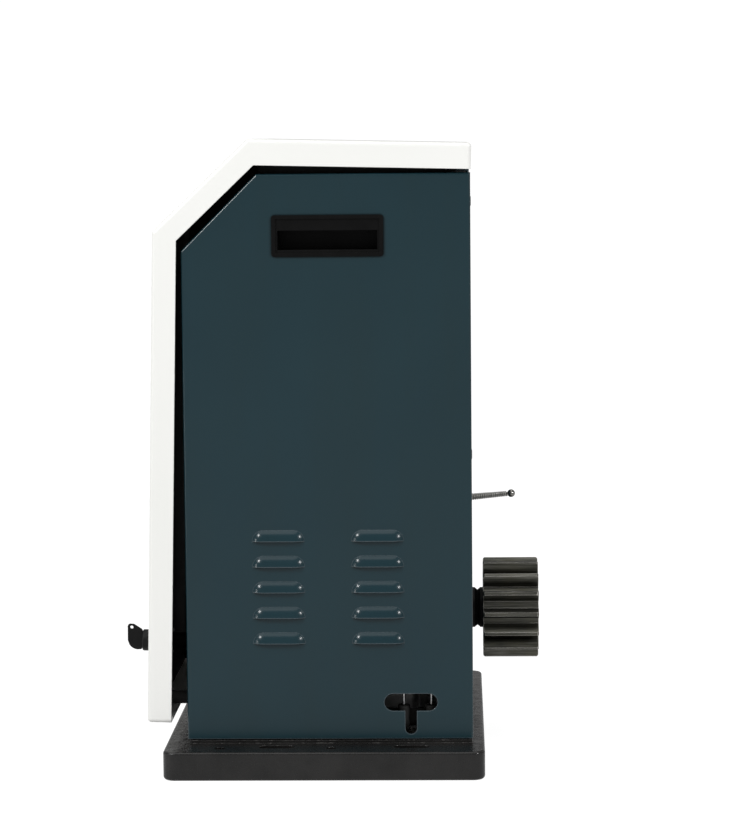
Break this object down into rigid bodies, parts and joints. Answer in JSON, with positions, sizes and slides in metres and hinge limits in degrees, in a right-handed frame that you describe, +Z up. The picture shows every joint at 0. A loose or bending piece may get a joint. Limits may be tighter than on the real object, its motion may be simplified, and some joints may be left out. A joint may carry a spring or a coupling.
{
  "type": "sliding gate operator",
  "caption": "Rack-drive sliding gate operator: cast base, sheet steel body, hinged hood with key lock, worm gearbox and motor, spur pinion and sprung limit lever.",
  "frame": {"origin": "centre of the flat underside of the base casting", "axes": "+X along the gate's travel, -Y towards the hood and lock, +Y towards the gate and its rack, +Z up"},
  "size_m": [0.415, 0.4221, 0.6136],
  "materials": {
    "cast_base": "painted black, semi-gloss",
    "white_paint": "smooth powder coat",
    "slate_paint": "satin powder coat",
    "black_paint": "satin",
    "black_plastic": "moulded",
    "foam": "open foam",
    "rubber": "matte",
    "zinc": "zinc plated",
    "steel": "ground",
    "black_steel": "blackened",
    "lock_chrome": "plated",
    "lock_black": "black",
    "key_black": "black",
    "bronze": "machined",
    "gearbox_alloy": "cast",
    "motor_alloy": "cast, finned",
    "lamination": "stacked",
    "grip_red": "moulded",
    "board_green": "solder mask",
    "terminal_green": "moulded",
    "component_dark": "moulded",
    "can_alloy": "drawn",
    "switch_grey": "moulded"
  },
  "bodies": {
    "frame": {"base_casting": "cast_base", "levelling_screws": "black_steel", "gland_plate": "zinc", "cable_glands": "black_plastic", "chassis_rails": "black_paint", "frame_bolts": "zinc", "side_panel_right": "slate_paint", "side_panel_left": "slate_paint", "back_panel": "slate_paint", "back_panel_screws": "black_steel", "front_bulkhead": "black_paint", "carry_handle_right": "black_plastic", "carry_handle_left": "black_plastic", "hinge_brackets": "black_paint", "hinge_pins": "steel", "hood_buffers": "rubber", "lock_striker": "zinc", "gearbox_housing": "gearbox_alloy", "gearbox_cover": "gearbox_alloy", "cover_bolts": "zinc", "shaft_bearings": "steel", "shaft_seal": "rubber", "worm_bearings": "steel", "motor_housing": "motor_alloy", "stator_core": "lamination", "fan_cover": "black_paint", "limit_box": "switch_grey", "limit_cover": "switch_grey", "micro_switches": "component_dark", "control_tray": "zinc", "circuit_board": "board_green", "terminal_blocks": "terminal_green", "board_components": "component_dark", "transformer": "lamination", "run_capacitor": "can_alloy"},
    "output": {"output_shaft": "steel", "pinion_key": "steel", "pinion": "black_steel", "shaft_collar": "lock_black", "pinion_fastener": "zinc", "worm_wheel": "bronze"},
    "clutch": {"clutch_sleeve": "steel"},
    "rotor": {"worm_shaft": "steel", "rotor_core": "lamination", "cooling_fan": "black_plastic"},
    "hood": {"hood_shell": "white_paint", "hood_liner": "foam", "hood_hinges": "black_paint", "lock_housing": "lock_black", "lock_nut": "lock_black"},
    "lock_barrel": {"lock_plug": "lock_chrome", "lock_cam": "zinc"},
    "lock_key": {"key": "key_black"},
    "limit_lever": {"lever_hub": "zinc", "lever_spring": "black_steel", "lever_ball": "black_steel"},
    "plunger_l": {"plunger_left": "grip_red"},
    "plunger_r": {"plunger_right": "grip_red"},
    "release": {"release_lever": "zinc", "release_grip": "grip_red"}
  },
  "joints": [
    {"name": "motor_spin", "type": "hinge", "parent": "frame", "child": "rotor", "pos_m": [0.063, 0.04, 0.15], "axis": [0, 0, 1], "continuous": true},
    {"name": "output_spin", "type": "hinge", "parent": "frame", "child": "output", "pos_m": [0, 0.1, 0.1334], "axis": [0, 1, 0], "continuous": true},
    {"name": "hood_hinge", "type": "hinge", "parent": "frame", "child": "hood", "pos_m": [0, 0.134, 0.597], "axis": [-1, 0, 0], "range_deg": [0, 80]},
    {"name": "lock_turn", "type": "hinge", "parent": "hood", "child": "lock_barrel", "pos_m": [0, -0.19507, 0.10057], "axis": [0, 0.9997, -0.0253], "range_deg": [0, 90]},
    {"name": "key_pull", "type": "slide", "parent": "lock_barrel", "child": "lock_key", "axis": [0, -0.9997, 0.0253], "range_m": [0, 0.026]},
    {"name": "limit_lever_swing", "type": "hinge", "parent": "frame", "child": "limit_lever", "pos_m": [0, 0.122, 0.246], "axis": [0, 0, 1], "range_deg": [-30, 30], "stiffness_Nm_per_rad": 0.08},
    {"name": "plunger_left_press", "type": "slide", "parent": "frame", "child": "plunger_l", "axis": [-1, 0, 0], "range_m": [0, 0.0015], "stiffness_N_per_m": 300},
    {"name": "plunger_right_press", "type": "slide", "parent": "frame", "child": "plunger_r", "axis": [1, 0, 0], "range_m": [0, 0.0015], "stiffness_N_per_m": 300},
    {"name": "release_turn", "type": "hinge", "parent": "frame", "child": "release", "pos_m": [0, 0.075, 0.215], "axis": [0, 0, 1], "range_deg": [0, 60]},
    {"name": "clutch_shift", "type": "slide", "parent": "output", "child": "clutch", "axis": [0, 1, 0], "range_m": [0, 0.008]}
  ],
  "couplings": [
    {"joint": "output_spin", "follows": "motor_spin", "ratio": 0.033333},
    {"joint": "clutch_shift", "follows": "release_turn", "m_per_rad": 0.0076394}
  ]
}
